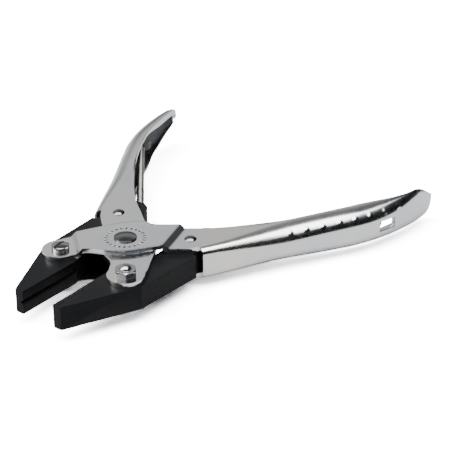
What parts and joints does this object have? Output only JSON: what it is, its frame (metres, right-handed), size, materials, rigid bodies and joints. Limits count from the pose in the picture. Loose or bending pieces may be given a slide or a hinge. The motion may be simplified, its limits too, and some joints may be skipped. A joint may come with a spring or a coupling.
{
  "type": "parallel-action flat-nose pliers",
  "caption": "Flat-nose pliers with pressed steel channel handles and blackened jaws that stay parallel as they close.",
  "frame": {"origin": "On the centre line, under the middle of the open pliers' length, on the surface they rest on", "axes": "+X from the handle ends towards the jaw tips, +Y towards the right-hand handle, +Z along the pivot axis, away from the surface"},
  "size_m": [0.1414, 0.1174, 0.0183],
  "materials": {
    "pressed_steel": "bright plated, satin",
    "black_steel": "blackened, semi-gloss",
    "fastener_steel": "bright plated",
    "rivet_steel": "plated, satin",
    "plain_steel": "ground",
    "spring_steel": "bright drawn wire"
  },
  "bodies": {
    "left_handle": {"handle_left": "pressed_steel", "pivot_rivet_top": "rivet_steel", "pivot_rivet_bottom": "rivet_steel", "jaw_screw_right": "fastener_steel", "jaw_nut_right": "fastener_steel", "jaw_bush_right": "plain_steel", "slot_rivet_left": "rivet_steel", "slot_roller_left": "plain_steel"},
    "right_handle": {"handle_right": "pressed_steel", "jaw_screw_left": "fastener_steel", "jaw_nut_left": "fastener_steel", "jaw_bush_left": "plain_steel", "slot_rivet_right": "rivet_steel", "slot_roller_right": "plain_steel"},
    "right_jaw": {"jaw_right": "black_steel"},
    "left_jaw": {"jaw_left": "black_steel"},
    "right_spring": {"return_spring_right": "spring_steel"},
    "left_spring": {"return_spring_left": "spring_steel"},
    "right_spring_hook": {"spring_hook_right": "spring_steel"},
    "left_spring_hook": {"spring_hook_left": "spring_steel"}
  },
  "joints": [
    {"name": "handle_pivot", "type": "hinge", "parent": "left_handle", "child": "right_handle", "pos_m": [0.02887, 0, 0.00915], "axis": [0, 0, 1], "range_deg": [-4, 40.1], "stiffness_Nm_per_rad": 0.16},
    {"name": "right_jaw_pivot", "type": "hinge", "parent": "left_handle", "child": "right_jaw", "pos_m": [0.04502, 0.01389, 0.00915], "axis": [0, 0, 1], "range_deg": [-2, 20.05]},
    {"name": "left_jaw_pivot", "type": "hinge", "parent": "right_handle", "child": "left_jaw", "pos_m": [0.04502, -0.01389, 0.00915], "axis": [0, 0, 1], "range_deg": [-20.05, 2]},
    {"name": "right_spring_swing", "type": "hinge", "parent": "right_handle", "child": "right_spring", "pos_m": [-0.04122, 0.05247, 0.00915], "axis": [0, 0, 1], "range_deg": [-0.65, 6.2], "deforming": ["return_spring_right"]},
    {"name": "left_spring_swing", "type": "hinge", "parent": "left_handle", "child": "left_spring", "pos_m": [-0.04122, -0.05247, 0.00915], "axis": [0, 0, 1], "range_deg": [-6.2, 0.65], "deforming": ["return_spring_left"]},
    {"name": "right_spring_stretch", "type": "slide", "parent": "right_spring", "child": "right_spring_hook", "axis": [0.7688, -0.6395, 0], "range_m": [-0.0007, 0.0065], "deforming": ["spring_hook_right"]},
    {"name": "left_spring_stretch", "type": "slide", "parent": "left_spring", "child": "left_spring_hook", "axis": [0.7688, 0.6395, 0], "range_m": [-0.0007, 0.0065], "deforming": ["spring_hook_left"]}
  ],
  "couplings": [
    {"joint": "right_jaw_pivot", "follows": "handle_pivot", "ratio": 0.5},
    {"joint": "left_jaw_pivot", "follows": "handle_pivot", "ratio": -0.5},
    {"joint": "right_spring_swing", "follows": "handle_pivot", "ratio": 0.1525},
    {"joint": "left_spring_swing", "follows": "handle_pivot", "ratio": -0.1525},
    {"joint": "right_spring_stretch", "follows": "handle_pivot", "m_per_rad": 0.009024},
    {"joint": "left_spring_stretch", "follows": "handle_pivot", "m_per_rad": 0.009024}
  ]
}
